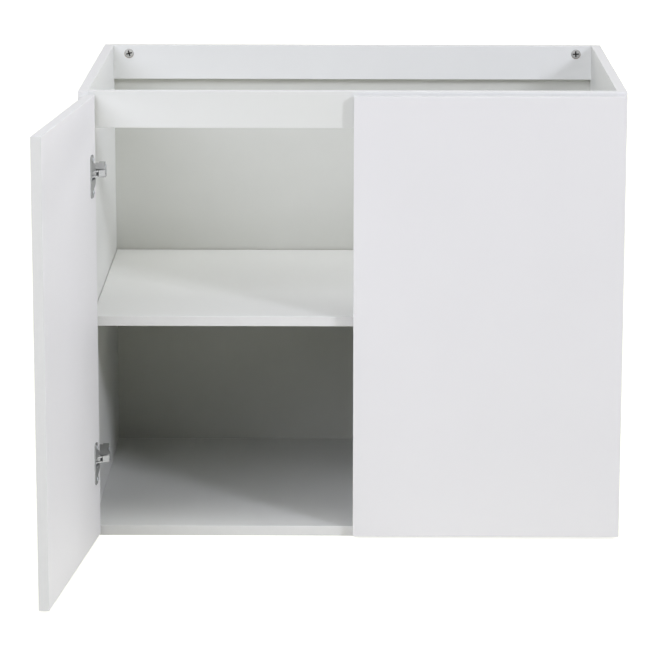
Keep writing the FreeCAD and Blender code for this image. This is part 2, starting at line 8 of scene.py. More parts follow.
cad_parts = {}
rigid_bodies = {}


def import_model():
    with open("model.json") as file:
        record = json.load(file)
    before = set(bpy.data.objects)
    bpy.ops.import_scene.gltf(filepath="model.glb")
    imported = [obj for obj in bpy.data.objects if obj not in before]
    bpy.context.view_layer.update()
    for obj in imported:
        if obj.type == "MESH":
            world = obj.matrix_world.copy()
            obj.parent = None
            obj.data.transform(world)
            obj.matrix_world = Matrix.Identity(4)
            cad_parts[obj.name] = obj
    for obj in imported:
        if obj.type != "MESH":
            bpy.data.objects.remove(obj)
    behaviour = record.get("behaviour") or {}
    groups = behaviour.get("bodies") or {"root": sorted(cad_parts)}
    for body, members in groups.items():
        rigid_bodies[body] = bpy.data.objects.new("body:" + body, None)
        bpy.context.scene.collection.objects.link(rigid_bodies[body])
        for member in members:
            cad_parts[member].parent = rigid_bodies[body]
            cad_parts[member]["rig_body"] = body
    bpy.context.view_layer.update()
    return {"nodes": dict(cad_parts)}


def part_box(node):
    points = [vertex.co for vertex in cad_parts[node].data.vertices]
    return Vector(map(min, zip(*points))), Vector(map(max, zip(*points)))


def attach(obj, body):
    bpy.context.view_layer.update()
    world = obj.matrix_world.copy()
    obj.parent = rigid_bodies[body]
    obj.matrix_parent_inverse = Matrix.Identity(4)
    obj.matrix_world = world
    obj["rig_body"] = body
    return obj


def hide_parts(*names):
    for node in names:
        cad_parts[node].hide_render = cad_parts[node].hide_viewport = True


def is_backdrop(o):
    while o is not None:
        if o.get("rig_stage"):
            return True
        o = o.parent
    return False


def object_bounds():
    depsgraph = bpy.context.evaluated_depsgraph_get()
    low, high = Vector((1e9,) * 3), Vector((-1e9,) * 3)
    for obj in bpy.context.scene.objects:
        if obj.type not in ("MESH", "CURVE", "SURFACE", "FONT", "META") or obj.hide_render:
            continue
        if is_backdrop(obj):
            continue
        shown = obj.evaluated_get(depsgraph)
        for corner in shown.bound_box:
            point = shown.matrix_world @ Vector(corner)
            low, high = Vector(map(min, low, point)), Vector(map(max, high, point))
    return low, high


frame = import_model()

# Side panels: 15 mm chipboard faced with white melamine paper, its seen edges closed by a
# thin white band. A rebate along the rear inner edge takes the back panel, and the rear and
# lower edges, which face the wall and the floor, are left as raw chipboard.


def linear(hex_colour):
    """An sRGB hex colour as linear red, green, blue and alpha."""
    channels = [int(hex_colour[place:place + 2], 16) / 255 for place in (1, 3, 5)]
    return [c / 12.92 if c <= 0.04045 else ((c + 0.055) / 1.055) ** 2.4
            for c in channels] + [1.0]


def per_mm(size):
    """The texture scale, in object metres, of a pattern that repeats every size millimetres."""
    return 1000.0 / size


def add(tree, kind, inputs=None, **settings):
    """One node, with its settings, and its inputs as values or as sockets to link."""
    made = tree.nodes.new(kind)
    for name, value in settings.items():
        setattr(made, name, value)
    for name, value in (inputs or {}).items():
        if isinstance(value, bpy.types.NodeSocket):
            tree.links.new(value, made.inputs[name])
        else:
            made.inputs[name].default_value = value
    return made


def new_material(name):
    """An empty material, its tree and the coordinates of the piece that wears it."""
    material = bpy.data.materials.new(name)
    material.use_nodes = True
    tree = material.node_tree
    tree.nodes.clear()
    return material, tree, add(tree, "ShaderNodeTexCoord").outputs["Object"]


# Melamine facing: decor paper in hard resin, pressed against a pearl-grained plate. It gives
# the eye an even white with a dull satin shine, a little greener on the carcass than on the
# doors. The real pearls are about 0.5 mm wide, drawn at 1.6 mm so that they show.
melamine = {}
for use, dull, clear in (("carcass", "#E3E4E1", "#E5E6E3"), ("door", "#E9E8EA", "#EBEAEC")):
    melamine[use], tree, place = new_material("white_melamine_" + use)
    clouds = add(tree, "ShaderNodeTexNoise",
                 {"Vector": place, "Scale": per_mm(110), "Detail": 2.0})
    tone = add(tree, "ShaderNodeValToRGB", {"Fac": clouds.outputs["Fac"]})
    tone.color_ramp.elements[0].color = linear(dull)
    tone.color_ramp.elements[1].color = linear(clear)
    pearls = add(tree, "ShaderNodeTexNoise",
                 {"Vector": place, "Scale": per_mm(1.6), "Detail": 1.0})
    relief = add(tree, "ShaderNodeBump",
                 {"Height": pearls.outputs["Fac"], "Strength": 0.12, "Distance": 0.0002})
    shine = add(tree, "ShaderNodeMapRange",
                {"Value": pearls.outputs["Fac"], "To Min": 0.56, "To Max": 0.64})
    shader = add(tree, "ShaderNodeBsdfPrincipled",
                 {"Base Color": tone.outputs["Color"], "Roughness": shine.outputs["Result"],
                  "IOR": 1.55, "Normal": relief.outputs["Normal"]})
    add(tree, "ShaderNodeOutputMaterial", {"Surface": shader.outputs["BSDF"]})

# Edge band: extruded white plastic, glued on and trimmed. It gives the eye a slightly
# brighter and duller line along every edge.
band, tree, place = new_material("white_edge_band")
drag = add(tree, "ShaderNodeTexNoise", {"Vector": place, "Scale": per_mm(9), "Detail": 2.0})
tone = add(tree, "ShaderNodeValToRGB", {"Fac": drag.outputs["Fac"]})
tone.color_ramp.elements[0].color = linear("#E6E6E5")
tone.color_ramp.elements[1].color = linear("#EAEAE9")
shine = add(tree, "ShaderNodeMapRange",
            {"Value": drag.outputs["Fac"], "To Min": 0.56, "To Max": 0.64})
relief = add(tree, "ShaderNodeBump",
             {"Height": drag.outputs["Fac"], "Strength": 0.08, "Distance": 0.0002})
shader = add(tree, "ShaderNodeBsdfPrincipled",
             {"Base Color": tone.outputs["Color"], "Roughness": shine.outputs["Result"],
              "IOR": 1.53, "Normal": relief.outputs["Normal"]})
add(tree, "ShaderNodeOutputMaterial", {"Surface": shader.outputs["BSDF"]})

# Raw chipboard: pressed wood flakes and glue, sawn. It gives the eye tan specks of many
# tones, 1 to 4 mm long, with dark pits between them.
chipboard, tree, place = new_material("raw_chipboard")
flakes = add(tree, "ShaderNodeTexVoronoi", {"Vector": place, "Scale": per_mm(2.6)}, feature="F1")
tone = add(tree, "ShaderNodeValToRGB", {"Fac": flakes.outputs["Color"]})
tone.color_ramp.elements[0].color = linear("#8A6B45")
tone.color_ramp.elements[1].color = linear("#D8BE92")
middle = tone.color_ramp.elements.new(0.45)
middle.color = linear("#B8986A")
relief = add(tree, "ShaderNodeBump",
             {"Height": flakes.outputs["Distance"], "Strength": 0.5, "Distance": 0.0004},
             invert=True)
shader = add(tree, "ShaderNodeBsdfPrincipled",
             {"Base Color": tone.outputs["Color"], "Roughness": 0.88,
              "Normal": relief.outputs["Normal"]})
add(tree, "ShaderNodeOutputMaterial", {"Surface": shader.outputs["BSDF"]})

x_axis, y_axis, z_axis = range(3)
forwards, backwards = (0, -1, 0), (0, 1, 0)
downwards, upwards = (0, 0, -1), (0, 0, 1)
faced, banded, bare = range(3)
arris = 0.0005
square_on = 0.9


def sawn_board(name, outline, bottom, top, facing, raw=()):
    """A board: a plan outline raised between two heights, its arrises eased by the trimmer.
    facing is the axis of its two faces, and raw lists the ways that bare edges look."""
    shape = bmesh.new()
    floor_ring = [shape.verts.new((x, y, bottom)) for x, y in outline]
    lower = shape.faces.new(floor_ring)
    raised = bmesh.ops.extrude_face_region(shape, geom=[lower])["geom"]
    bmesh.ops.translate(shape, verts=[v for v in raised if isinstance(v, bmesh.types.BMVert)],
                        vec=(0, 0, top - bottom))
    bmesh.ops.recalc_face_normals(shape, faces=shape.faces)
    bmesh.ops.bevel(shape, geom=shape.edges[:], offset=arris, segments=2, profile=0.5,
                    affect="EDGES")
    for face in shape.faces:
        if abs(face.normal[facing]) > square_on:
            face.material_index = faced
        elif any(face.normal.dot(Vector(way)) > square_on for way in raw):
            face.material_index = bare
        else:
            face.material_index = banded
    mesh = bpy.data.meshes.new(name)
    shape.to_mesh(mesh)
    shape.free()
    for material in (melamine["carcass"], band, chipboard):
        mesh.materials.append(material)
    board = bpy.data.objects.new(name, mesh)
    bpy.context.scene.collection.objects.link(board)
    return board


def stands_for(piece, node):
    """The piece shows in place of a node and moves with its body."""
    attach(piece, frame["nodes"][node]["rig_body"])
    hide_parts(node)


back_thickness = 0.003
back_lap = 0.008
for side_name, side in (("left", -1), ("right", 1)):
    node = "side_panel_" + side_name
    low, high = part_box(node)
    inner, outer = (low.x, high.x) if side > 0 else (high.x, low.x)
    rebate_x, rebate_y = inner + side * back_lap, high.y - back_thickness
    outline = [(inner, low.y), (outer, low.y), (outer, high.y), (rebate_x, high.y),
               (rebate_x, rebate_y), (inner, rebate_y)]
    panel = sawn_board("melamine_side_" + side_name, outline, low.z, high.z, x_axis,
                       raw=(backwards, downwards))
    stands_for(panel, node)

# Bottom panel, rails and shelf: the same faced chipboard. The bottom and the rails are held
# between the sides by cams and dowels, the shelf lies loose on its supports. Round pockets
# are milled in the rails' inner faces and the bottom's underside for the cams.
overrun = 0.001


def plan(low, high):
    """The plan outline of a box."""
    return [(low.x, low.y), (high.x, low.y), (high.x, high.y), (low.x, high.y)]


def mill(board, pockets, radius, core):
    """Cuts round pockets, each from a point on a face to a depth, out of a board. They show the
    core material inside it."""
    tool = bmesh.new()
    for mouth, inward, depth in pockets:
        inward = Vector(inward)
        start = Vector(mouth) - inward * overrun
        turn = inward.to_track_quat("Z", "Y").to_matrix().to_4x4()
        middle = Matrix.Translation(start + inward * (depth + overrun) / 2)
        bmesh.ops.create_cone(tool, cap_ends=True, segments=64, radius1=radius, radius2=radius,
                              depth=depth + overrun, matrix=middle @ turn)
    mesh = bpy.data.meshes.new("cutter")
    tool.to_mesh(mesh)
    tool.free()
    mesh.materials.append(core)
    cutter = bpy.data.objects.new("cutter", mesh)
    bpy.context.scene.collection.objects.link(cutter)
    cut = board.modifiers.new("pockets", "BOOLEAN")
    cut.object = cutter
    cut.solver = "EXACT"
    cut.material_mode = "TRANSFER"
    ready = board.evaluated_get(bpy.context.evaluated_depsgraph_get())
    solid = bpy.data.meshes.new_from_object(ready)
    board.modifiers.clear()
    board.data = solid
    bpy.data.objects.remove(cutter)


cam_radius = 0.0075
cam_pocket = 0.012
cam_from_end = 0.025
cam_from_top = 0.013
bottom_cam_from_edge = 0.060

for node, into in (("front_rail", forwards), ("rear_rail", backwards)):
    low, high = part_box(node)
    inner_face = high.y if into == forwards else low.y
    rail = sawn_board("melamine_" + node, plan(low, high), low.z, high.z, y_axis)
    mill(rail, [((x, inner_face, high.z - cam_from_top), into, cam_pocket)
                for x in (low.x + cam_from_end, high.x - cam_from_end)], cam_radius, chipboard)
    stands_for(rail, node)

low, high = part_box("bottom_panel")
bottom = sawn_board("melamine_bottom", plan(low, high), low.z, high.z, z_axis, raw=(backwards,))
rear_edge = high.y + back_thickness
mill(bottom, [((x, y, low.z), upwards, cam_pocket)
              for x in (low.x + cam_from_end, high.x - cam_from_end)
              for y in (low.y + bottom_cam_from_edge, rear_edge - bottom_cam_from_edge)],
     cam_radius, chipboard)
stands_for(bottom, "bottom_panel")

low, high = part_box("shelf")
shelf = sawn_board("melamine_shelf", plan(low, high), low.z, high.z, z_axis, raw=(backwards,))
stands_for(shelf, "shelf")

# Back panel: 3 mm hardboard, lacquered white on its front and upper edge and left brown
# behind. It lies in the sides' rebates and is nailed to the sides, the bottom and the rear
# rail.

# Lacquered hardboard: rolled lacquer on a smooth pressed face. It gives the eye a white that is
# a little warmer than the melamine, with a fine roller texture, drawn at 2 mm so that it shows.
lacquered, tree, place = new_material("white_lacquered_hardboard")
clouds = add(tree, "ShaderNodeTexNoise", {"Vector": place, "Scale": per_mm(45), "Detail": 3.0})
tone = add(tree, "ShaderNodeValToRGB", {"Fac": clouds.outputs["Fac"]})
tone.color_ramp.elements[0].color = linear("#D0D1CA")
tone.color_ramp.elements[1].color = linear("#D4D5CE")
roller = add(tree, "ShaderNodeTexNoise", {"Vector": place, "Scale": per_mm(2.0), "Detail": 2.0})
relief = add(tree, "ShaderNodeBump",
             {"Height": roller.outputs["Fac"], "Strength": 0.15, "Distance": 0.0002})
shader = add(tree, "ShaderNodeBsdfPrincipled",
             {"Base Color": tone.outputs["Color"], "Roughness": 0.5, "IOR": 1.5,
              "Normal": relief.outputs["Normal"]})
add(tree, "ShaderNodeOutputMaterial", {"Surface": shader.outputs["BSDF"]})

# Raw hardboard: brown wood fibre, pressed wet on a screen. It gives the eye a dull brown with
# fine fibres and the faint marks of wires 1.6 mm apart.
raw_hardboard, tree, place = new_material("raw_hardboard")
fibre = add(tree, "ShaderNodeTexNoise",
            {"Vector": place, "Scale": per_mm(3.0), "Detail": 6.0, "Roughness": 0.7})
tone = add(tree, "ShaderNodeValToRGB", {"Fac": fibre.outputs["Fac"]})
tone.color_ramp.elements[0].position = 0.3
tone.color_ramp.elements[0].color = linear("#7A5B3C")
tone.color_ramp.elements[1].position = 0.75
tone.color_ramp.elements[1].color = linear("#A98458")
wave_length = math.tau / 20  # of the wave node, at a scale of 1
wires = [add(tree, "ShaderNodeTexWave",
             {"Vector": place, "Scale": per_mm(1.6) * wave_length, "Distortion": 0.6},
             wave_type="BANDS", bands_direction=way, wave_profile="SIN") for way in ("X", "Z")]
mesh_marks = add(tree, "ShaderNodeMath",
                 {0: wires[0].outputs["Fac"], 1: wires[1].outputs["Fac"]}, operation="MAXIMUM")
rough = add(tree, "ShaderNodeMath",
            {0: fibre.outputs["Fac"], 1: mesh_marks.outputs["Value"]}, operation="ADD")
relief = add(tree, "ShaderNodeBump",
             {"Height": rough.outputs["Value"], "Strength": 0.4, "Distance": 0.0003})
shader = add(tree, "ShaderNodeBsdfPrincipled",
             {"Base Color": tone.outputs["Color"], "Roughness": 0.82,
              "Normal": relief.outputs["Normal"]})
add(tree, "ShaderNodeOutputMaterial", {"Surface": shader.outputs["BSDF"]})

weld = 1e-6


def solids_of(node):
    """The separate solids of a node, each as its points."""
    shape = bmesh.new()
    shape.from_mesh(frame["nodes"][node].data)
    bmesh.ops.remove_doubles(shape, verts=shape.verts, dist=weld)
    found, solids = set(), []
    for first in shape.verts:
        if first in found:
            continue
        found.add(first)
        group = [first]
        for vert in group:
            for edge in vert.link_edges:
                other = edge.other_vert(vert)
                if other not in found:
                    found.add(other)
                    group.append(other)
        solids.append([vert.co.copy() for vert in group])
    shape.free()
    return solids


nail_head_radius = 0.002
nail_head_height = 0.0008
nail_head_play = 0.0001
low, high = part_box("back_panel")
back = sawn_board("hardboard_back", plan(low, high), low.z, high.z, y_axis)
back.data.materials.clear()
back.data.materials.append(lacquered)
back.data.materials.append(raw_hardboard)
for face in back.data.polygons:
    coated = face.normal.y < -square_on or face.normal.z > square_on
    face.material_index = 0 if coated else 1
nails = [sum(points, Vector()) / len(points) for points in solids_of("back_nails")]
mill(back, [((nail.x, high.y, nail.z), forwards, nail_head_height) for nail in nails],
     nail_head_radius + nail_head_play, raw_hardboard)
stands_for(back, "back_panel")

# Doors: plain faced boards, banded on all four edges. Two 35 mm cup bores near the hinge edge
# take the hinges. The left door stands open, turned about its inner hinge corner, and the
# right one is shut.
door_width = 0.396
door_thickness = 0.015
cup_radius = 0.0175
cup_bore_depth = 0.012
cup_from_edge = 0.0225
cup_heights = (0.120, 0.550)
left_open = math.radians(-96)
left_corner = (-0.3750018, -0.2754467)
for side_name, along in (("left", 1), ("right", -1)):
    node = "door_" + side_name
    low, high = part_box(node)
    far_edge = along * door_width
    outline = [(0, -door_thickness), (far_edge, -door_thickness), (far_edge, 0), (0, 0)]
    door = sawn_board("melamine_door_" + side_name, outline, low.z, high.z, y_axis)
    mill(door, [((along * cup_from_edge, 0, height), forwards, cup_bore_depth)
                for height in cup_heights], cup_radius, chipboard)
    door.data.materials[faced] = melamine["door"]
    if side_name == "left":
        hung = Matrix.Translation((*left_corner, 0)) @ Matrix.Rotation(left_open, 4, "Z")
    else:
        hung = Matrix.Translation((high.x, high.y, 0))
    door.data.transform(hung)
    stands_for(door, node)

# Concealed hinges: stamped and plated steel. The cup is pressed into the door, the arm clips on
# a plate screwed to the side, and a folded link and a hooked one, on riveted pins, join the two.
# A leaf spring inside the arm pushes the hooked link.

# Nickel plate: satin nickel on tumbled steel stampings. It gives the eye a pale grey metal,
# softly clouded on flats, with brighter edges.
nickel, tree, place = new_material("satin_nickel_plate")
tumble = add(tree, "ShaderNodeTexNoise", {"Vector": place, "Scale": per_mm(4.0), "Detail": 4.0})
tone = add(tree, "ShaderNodeValToRGB", {"Fac": tumble.outputs["Fac"]})
tone.color_ramp.elements[0].color = linear("#999A9B")
tone.color_ramp.elements[1].color = linear("#B3B4B4")
shine = add(tree, "ShaderNodeMapRange",
            {"Value": tumble.outputs["Fac"], "To Min": 0.45, "To Max": 0.58})
relief = add(tree, "ShaderNodeBump",
             {"Height": tumble.outputs["Fac"], "Strength": 0.1, "Distance": 0.0001})
shader = add(tree, "ShaderNodeBsdfPrincipled",
             {"Base Color": tone.outputs["Color"], "Metallic": 1.0,
              "Roughness": shine.outputs["Result"], "Normal": relief.outputs["Normal"]})
add(tree, "ShaderNodeOutputMaterial", {"Surface": shader.outputs["BSDF"]})

# Spring steel: hardened strip, oil-blackened. It gives the eye a dark grey dull metal.
spring_steel, tree, place = new_material("tempered_spring_steel")
temper = add(tree, "ShaderNodeTexNoise", {"Vector": place, "Scale": per_mm(5.0), "Detail": 3.0})
tone = add(tree, "ShaderNodeValToRGB", {"Fac": temper.outputs["Fac"]})
tone.color_ramp.elements[0].color = linear("#4A4A4E")
tone.color_ramp.elements[1].color = linear("#6E6E70")
shader = add(tree, "ShaderNodeBsdfPrincipled",
             {"Base Color": tone.outputs["Color"], "Metallic": 1.0, "Roughness": 0.42})
add(tree, "ShaderNodeOutputMaterial", {"Surface": shader.outputs["BSDF"]})

one_flat = math.radians(0.5)
sharp_edge = math.radians(40)


def eased(node, material, width):
    """A copy of a node whose sharp edges are rounded, as stamping and tumbling leave them."""
    shape = bmesh.new()
    shape.from_mesh(frame["nodes"][node].data)
    bmesh.ops.remove_doubles(shape, verts=shape.verts, dist=weld)
    bmesh.ops.dissolve_limit(shape, angle_limit=one_flat, verts=shape.verts, edges=shape.edges)
    mesh = bpy.data.meshes.new("eased_" + node)
    shape.to_mesh(mesh)
    shape.free()
    mesh.materials.clear()
    mesh.materials.append(material)
    mesh.polygons.foreach_set("use_smooth", [True] * len(mesh.polygons))
    copy = bpy.data.objects.new("eased_" + node, mesh)
    bpy.context.scene.collection.objects.link(copy)
    rounding = copy.modifiers.new("rounding", "BEVEL")
    rounding.width = width
    rounding.segments = 2
    rounding.limit_method = "ANGLE"
    rounding.angle_limit = sharp_edge
    rounding.use_clamp_overlap = True
    flats = copy.modifiers.new("flats", "WEIGHTED_NORMAL")
    flats.keep_sharp = True
    ready = copy.evaluated_get(bpy.context.evaluated_depsgraph_get())
    solid = bpy.data.meshes.new_from_object(ready)
    copy.modifiers.clear()
    copy.data = solid
    return copy


def recoat(node, material):
    """A node that keeps its shape gets a better material."""
    frame["nodes"][node].data.materials.clear()
    frame["nodes"][node].data.materials.append(material)


hook_easing = 0.0001
stamping_easing = 0.0002
for node in sorted(frame["nodes"]):
    if node.startswith("hinge_spring"):
        recoat(node, spring_steel)
    elif node.startswith("hinge_hook_link"):
        stands_for(eased(node, nickel, hook_easing), node)
    elif node.startswith("hinge_"):
        stands_for(eased(node, nickel, stamping_easing), node)

# Hinge pins and shelf supports: small turned steel pieces. Pins are riveted in the arms and
# cups, and each support's pin sits in a bore of the side while its flat pad carries the shelf.

# Zinc plate: thin bright zinc on turned steel. It gives the eye a cool silver with faint clouds,
# and painted shade, near black, in the recess of a screw.
zinc, tree, place = new_material("bright_zinc_plate")
tumble = add(tree, "ShaderNodeTexNoise", {"Vector": place, "Scale": per_mm(2.5), "Detail": 3.0})
tone = add(tree, "ShaderNodeValToRGB", {"Fac": tumble.outputs["Fac"]})
tone.color_ramp.elements[0].color = linear("#A4A8AD")
tone.color_ramp.elements[1].color = linear("#C9CDD2")
# Painted shade: the marked recess faces are mixed towards near black.
painted_recess_shade = add(tree, "ShaderNodeAttribute", attribute_name="painted_recess_shade")
tone = add(tree, "ShaderNodeMix",
           {0: painted_recess_shade.outputs["Fac"], 6: tone.outputs["Color"], 7: linear("#3A3A3A")},
           data_type="RGBA")
shine = add(tree, "ShaderNodeMapRange",
            {"Value": tumble.outputs["Fac"], "To Min": 0.26, "To Max": 0.42})
relief = add(tree, "ShaderNodeBump",
             {"Height": tumble.outputs["Fac"], "Strength": 0.1, "Distance": 0.0001})
shader = add(tree, "ShaderNodeBsdfPrincipled",
             {"Base Color": tone.outputs[2], "Metallic": 1.0,
              "Roughness": shine.outputs["Result"], "Normal": relief.outputs["Normal"]})
add(tree, "ShaderNodeOutputMaterial", {"Surface": shader.outputs["BSDF"]})
pin_easing = 0.00025
for node in ("arm_pins", "cup_pins_left", "cup_pins_right", "shelf_supports"):
    stands_for(eased(node, zinc, pin_easing), node)

# Screws: cross-headed, with crowned heads that clamp the cup flanges, the plates and the arms.
# Each is cold-headed and thread-rolled steel, zinc plated, and driven by hand, so the crosses
# stand at any angle.
turned = bpy.data.node_groups.new("turned_fastener", "GeometryNodeTree")
turned.interface.new_socket("Seats", in_out="INPUT", socket_type="NodeSocketGeometry")
sockets = {}
for name in ("Head Radius", "Head Height", "Crown", "Shank Radius", "Shank Length",
             "Recess Length", "Recess Width", "Recess Depth", "Spin"):
    sockets[name] = turned.interface.new_socket(name, in_out="INPUT",
                                                socket_type="NodeSocketFloat")
sockets["Metal"] = turned.interface.new_socket("Metal", in_out="INPUT",
                                               socket_type="NodeSocketMaterial")
turned.interface.new_socket("Fasteners", in_out="OUTPUT", socket_type="NodeSocketGeometry")
size = add(turned, "NodeGroupInput").outputs

# The head is a unit grid rolled round the axis: it runs under the head, up its rim and over its
# crown to a closed pole. These are the heights on the grid where each run starts and ends.
under_from, rim_from, pole_from, pole_at = -0.5, -0.4, 0.45, 0.5
sheet = add(turned, "GeometryNodeMeshGrid",
            {"Size X": 1.0, "Size Y": 1.0, "Vertices X": 41, "Vertices Y": 18})
spot = add(turned, "ShaderNodeSeparateXYZ",
           {0: add(turned, "GeometryNodeInputPosition").outputs[0]})
angle = add(turned, "ShaderNodeMath", {0: spot.outputs["X"], 1: math.tau, 2: math.pi},
            operation="MULTIPLY_ADD")
under = add(turned, "ShaderNodeMapRange",
            {"Value": spot.outputs["Y"], "From Min": under_from, "From Max": rim_from})
climb = add(turned, "ShaderNodeMapRange",
            {"Value": spot.outputs["Y"], "From Min": rim_from, "From Max": pole_at,
             "To Max": math.pi / 2})
pole = add(turned, "ShaderNodeMapRange",
           {"Value": spot.outputs["Y"], "From Min": pole_from, "From Max": pole_at,
            "To Min": 1.0, "To Max": 0.0})
radius = add(turned, "ShaderNodeMath", {0: climb.outputs["Result"]}, operation="COSINE")
radius = add(turned, "ShaderNodeMath", {0: radius.outputs[0], 1: size["Crown"]},
             operation="POWER")
for share in (under.outputs["Result"], pole.outputs["Result"], size["Head Radius"]):
    radius = add(turned, "ShaderNodeMath", {0: radius.outputs[0], 1: share},
                 operation="MULTIPLY")
rise = add(turned, "ShaderNodeMath", {0: climb.outputs["Result"]}, operation="SINE")
rise = add(turned, "ShaderNodeMath", {0: rise.outputs[0], 1: size["Crown"]}, operation="POWER")
rise = add(turned, "ShaderNodeMath", {0: rise.outputs[0], 1: size["Head Height"]},
           operation="MULTIPLY")
across = add(turned, "ShaderNodeMath", {0: angle.outputs[0]}, operation="COSINE")
across = add(turned, "ShaderNodeMath", {0: across.outputs[0], 1: radius.outputs[0]},
             operation="MULTIPLY")
aside = add(turned, "ShaderNodeMath", {0: angle.outputs[0]}, operation="SINE")
aside = add(turned, "ShaderNodeMath", {0: aside.outputs[0], 1: radius.outputs[0]},
            operation="MULTIPLY")
rolled = add(turned, "ShaderNodeCombineXYZ",
             {"X": across.outputs[0], "Y": aside.outputs[0], "Z": rise.outputs[0]})
head = add(turned, "GeometryNodeSetPosition",
           {"Geometry": sheet.outputs["Mesh"], "Position": rolled.outputs[0]})
head = add(turned, "GeometryNodeMergeByDistance",
           {"Geometry": head.outputs[0], "Distance": weld})

# Two crossed slots are sunk in the crown where the fastener has a recess, the second a little
# less deep, so that their floors don't lie in one plane.
second_depth_share = 0.94
twice = add(turned, "ShaderNodeMath", {0: size["Recess Depth"], 1: 2.0}, operation="MULTIPLY")
slot = add(turned, "ShaderNodeCombineXYZ",
           {"X": size["Recess Length"], "Y": size["Recess Width"], "Z": twice.outputs[0]})
slot = add(turned, "GeometryNodeMeshCube", {"Size": slot.outputs[0]})
top = add(turned, "ShaderNodeCombineXYZ", {"Z": size["Head Height"]})
sunk = add(turned, "GeometryNodeMeshBoolean", {"Mesh 1": head.outputs[0]},
           operation="DIFFERENCE")
for turn, deep in ((0, 1.0), (math.pi / 2, second_depth_share)):
    cutter = add(turned, "GeometryNodeTransform",
                 {"Geometry": slot.outputs["Mesh"], "Translation": top.outputs[0],
                  "Rotation": (0, 0, turn), "Scale": (1, 1, deep)})
    turned.links.new(cutter.outputs[0], sunk.inputs["Mesh 2"])
has_recess = add(turned, "FunctionNodeCompare", {0: size["Recess Depth"], 1: 0.0},
                 operation="GREATER_THAN")
head = add(turned, "GeometryNodeSwitch",
           {"Switch": has_recess.outputs[0], "False": head.outputs[0],
            "True": sunk.outputs["Mesh"]}, input_type="GEOMETRY")
shank = add(turned, "GeometryNodeMeshCylinder",
            {"Vertices": 20, "Radius": size["Shank Radius"], "Depth": size["Shank Length"]})
drop = add(turned, "ShaderNodeMath", {0: size["Shank Length"], 1: -0.5}, operation="MULTIPLY")
drop = add(turned, "ShaderNodeCombineXYZ", {"Z": drop.outputs[0]})
shank = add(turned, "GeometryNodeTransform",
            {"Geometry": shank.outputs["Mesh"], "Translation": drop.outputs[0]})
has_shank = add(turned, "FunctionNodeCompare", {0: size["Shank Length"], 1: 0.0},
                operation="GREATER_THAN")
shank = add(turned, "GeometryNodeSwitch",
            {"Switch": has_shank.outputs[0], "True": shank.outputs[0]}, input_type="GEOMETRY")
whole = add(turned, "GeometryNodeJoinGeometry")
for part in (shank, head):
    turned.links.new(part.outputs[0], whole.inputs[0])

# The recess faces are marked for painted shade, near black, in the materials: those
# between two shares of the head's height and within a share of the slots' length of its axis.
marked_from_share, marked_to_share, marked_out_share = 0.02, 0.9, 0.53
spot = add(turned, "ShaderNodeSeparateXYZ",
           {0: add(turned, "GeometryNodeInputPosition").outputs[0]})
level = add(turned, "ShaderNodeMath", {0: spot.outputs["Z"], 1: size["Head Height"]},
            operation="DIVIDE")
below = add(turned, "ShaderNodeMath", {0: level.outputs[0], 1: marked_to_share},
            operation="LESS_THAN")
above = add(turned, "ShaderNodeMath", {0: level.outputs[0], 1: marked_from_share},
            operation="GREATER_THAN")
flat = add(turned, "ShaderNodeCombineXYZ", {"X": spot.outputs["X"], "Y": spot.outputs["Y"]})
out = add(turned, "ShaderNodeVectorMath", {0: flat.outputs[0]}, operation="LENGTH")
out = add(turned, "ShaderNodeMath", {0: out.outputs["Value"], 1: size["Recess Length"]},
          operation="DIVIDE")
inside = add(turned, "ShaderNodeMath", {0: out.outputs[0], 1: marked_out_share},
             operation="LESS_THAN")
for other in (below, above):
    inside = add(turned, "ShaderNodeMath", {0: inside.outputs[0], 1: other.outputs[0]},
                 operation="MULTIPLY")
whole = add(turned, "GeometryNodeStoreNamedAttribute",
            {"Geometry": whole.outputs[0], "Name": "painted_recess_shade", "Value": inside.outputs[0]},
            data_type="FLOAT", domain="FACE")

# One fastener goes on each seat, turned to look the seat's way and spun a little about it.
way = add(turned, "GeometryNodeInputNamedAttribute", {"Name": "head_way"},
          data_type="FLOAT_VECTOR")
facing = add(turned, "FunctionNodeAlignRotationToVector", {"Vector": way.outputs[0]}, axis="Z")
chance = add(turned, "FunctionNodeRandomValue", {"Max": size["Spin"], "Seed": 7},
             data_type="FLOAT")
spin = add(turned, "FunctionNodeAxisAngleToRotation",
           {"Axis": (0, 0, 1), "Angle": chance.outputs["Value"]})
facing = add(turned, "FunctionNodeRotateRotation",
             {"Rotation": facing.outputs[0], "Rotate By": spin.outputs[0]},
             rotation_space="LOCAL")
placed = add(turned, "GeometryNodeInstanceOnPoints",
             {"Points": size["Seats"], "Instance": whole.outputs[0],
              "Rotation": facing.outputs[0]})
placed = add(turned, "GeometryNodeRealizeInstances", {"Geometry": placed.outputs[0]})
placed = add(turned, "GeometryNodeSetMaterial",
             {"Geometry": placed.outputs[0], "Material": size["Metal"]})
add(turned, "NodeGroupOutput", {"Fasteners": placed.outputs[0]})

crease = math.radians(35)


